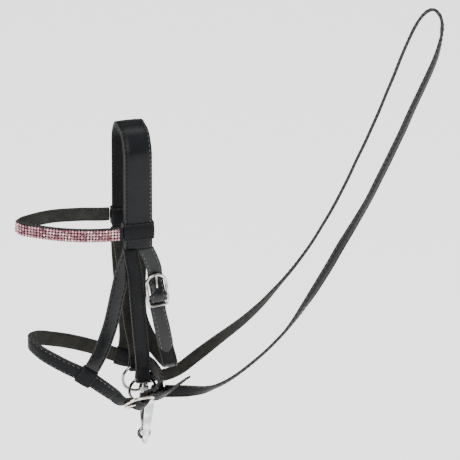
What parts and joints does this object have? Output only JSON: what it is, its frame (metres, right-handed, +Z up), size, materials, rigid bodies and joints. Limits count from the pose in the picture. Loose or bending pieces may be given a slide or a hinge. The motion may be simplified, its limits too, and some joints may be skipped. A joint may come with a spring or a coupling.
{
  "type": "snaffle bridle",
  "caption": "Miniature leather snaffle bridle with padded crown, crystal browband, buckled noseband and throatlash, loose-ring jointed bit and a long rein loop.",
  "frame": {"origin": "middle of the crownpiece's underside, where it hangs on a peg or lies on the poll", "axes": "-X towards the nose, -Y the near (left) side, +Z up"},
  "size_m": [0.3738, 0.0738, 0.3804],
  "materials": {
    "black_leather": "black strap leather with stitched edges",
    "soft_lining": "soft matt lining leather",
    "nickel": "polished nickel plate",
    "rose_crystal": "faceted rose crystals in rows"
  },
  "bodies": {
    "root": {"crown_leather": "black_leather", "crown_padding": "soft_lining", "sliphead": "black_leather", "near_cheekpiece": "black_leather", "far_cheekpiece": "black_leather", "throat_billet": "black_leather", "throatlash": "black_leather", "throat_buckle_frame": "nickel", "noseband": "black_leather", "noseband_billet": "black_leather", "noseband_buckle_frame": "nickel", "near_noseband_hanger": "black_leather", "far_noseband_hanger": "black_leather", "rein": "black_leather", "near_rein_loop": "black_leather", "far_rein_loop": "black_leather"},
    "browband": {"browband": "black_leather", "browband_lining": "soft_lining", "crystal_strip": "rose_crystal", "near_browband_loop": "black_leather", "far_browband_loop": "black_leather"},
    "near_ring": {"near_bit_ring": "nickel"},
    "far_ring": {"far_bit_ring": "nickel"},
    "near_cannon": {"near_cannon": "nickel"},
    "far_cannon": {"far_cannon": "nickel"},
    "throat_prong": {"throat_buckle_prong": "nickel"},
    "noseband_prong": {"noseband_buckle_prong": "nickel"}
  },
  "joints": [
    {"name": "near_ring_swing", "type": "hinge", "parent": "root", "child": "near_ring", "pos_m": [0.0057, -0.012, -0.226], "axis": [1, 0, 0], "range_deg": [-3, 4]},
    {"name": "far_ring_swing", "type": "hinge", "parent": "root", "child": "far_ring", "pos_m": [0.0057, 0.012, -0.226], "axis": [1, 0, 0], "range_deg": [-4, 3]},
    {"name": "near_cannon_swing", "type": "hinge", "parent": "near_ring", "child": "near_cannon", "pos_m": [0.01237, -0.012, -0.24709], "axis": [1, 0, 0], "range_deg": [-6.2, 4.7]},
    {"name": "far_cannon_swing", "type": "hinge", "parent": "far_ring", "child": "far_cannon", "pos_m": [0.01237, 0.012, -0.24709], "axis": [1, 0, 0], "range_deg": [-4.7, 6.2]},
    {"name": "browband_slide", "type": "slide", "parent": "root", "child": "browband", "axis": [0, 0, 1], "range_m": [0, 0.025]},
    {"name": "throat_prong_swing", "type": "hinge", "parent": "root", "child": "throat_prong", "pos_m": [0.0158, -0.0264, -0.1444], "axis": [0.996, 0, 0.0896], "range_deg": [0, 5]},
    {"name": "noseband_prong_swing", "type": "hinge", "parent": "root", "child": "noseband_prong", "pos_m": [0.0013, -0.028, -0.2413], "axis": [0.2637, -0.6096, 0.7476], "range_deg": [0, 5]}
  ],
  "couplings": [
    {"joint": "far_ring_swing", "follows": "near_ring_swing", "ratio": -1},
    {"joint": "near_cannon_swing", "follows": "near_ring_swing", "ratio": -1.529},
    {"joint": "far_cannon_swing", "follows": "near_ring_swing", "ratio": 1.529}
  ]
}
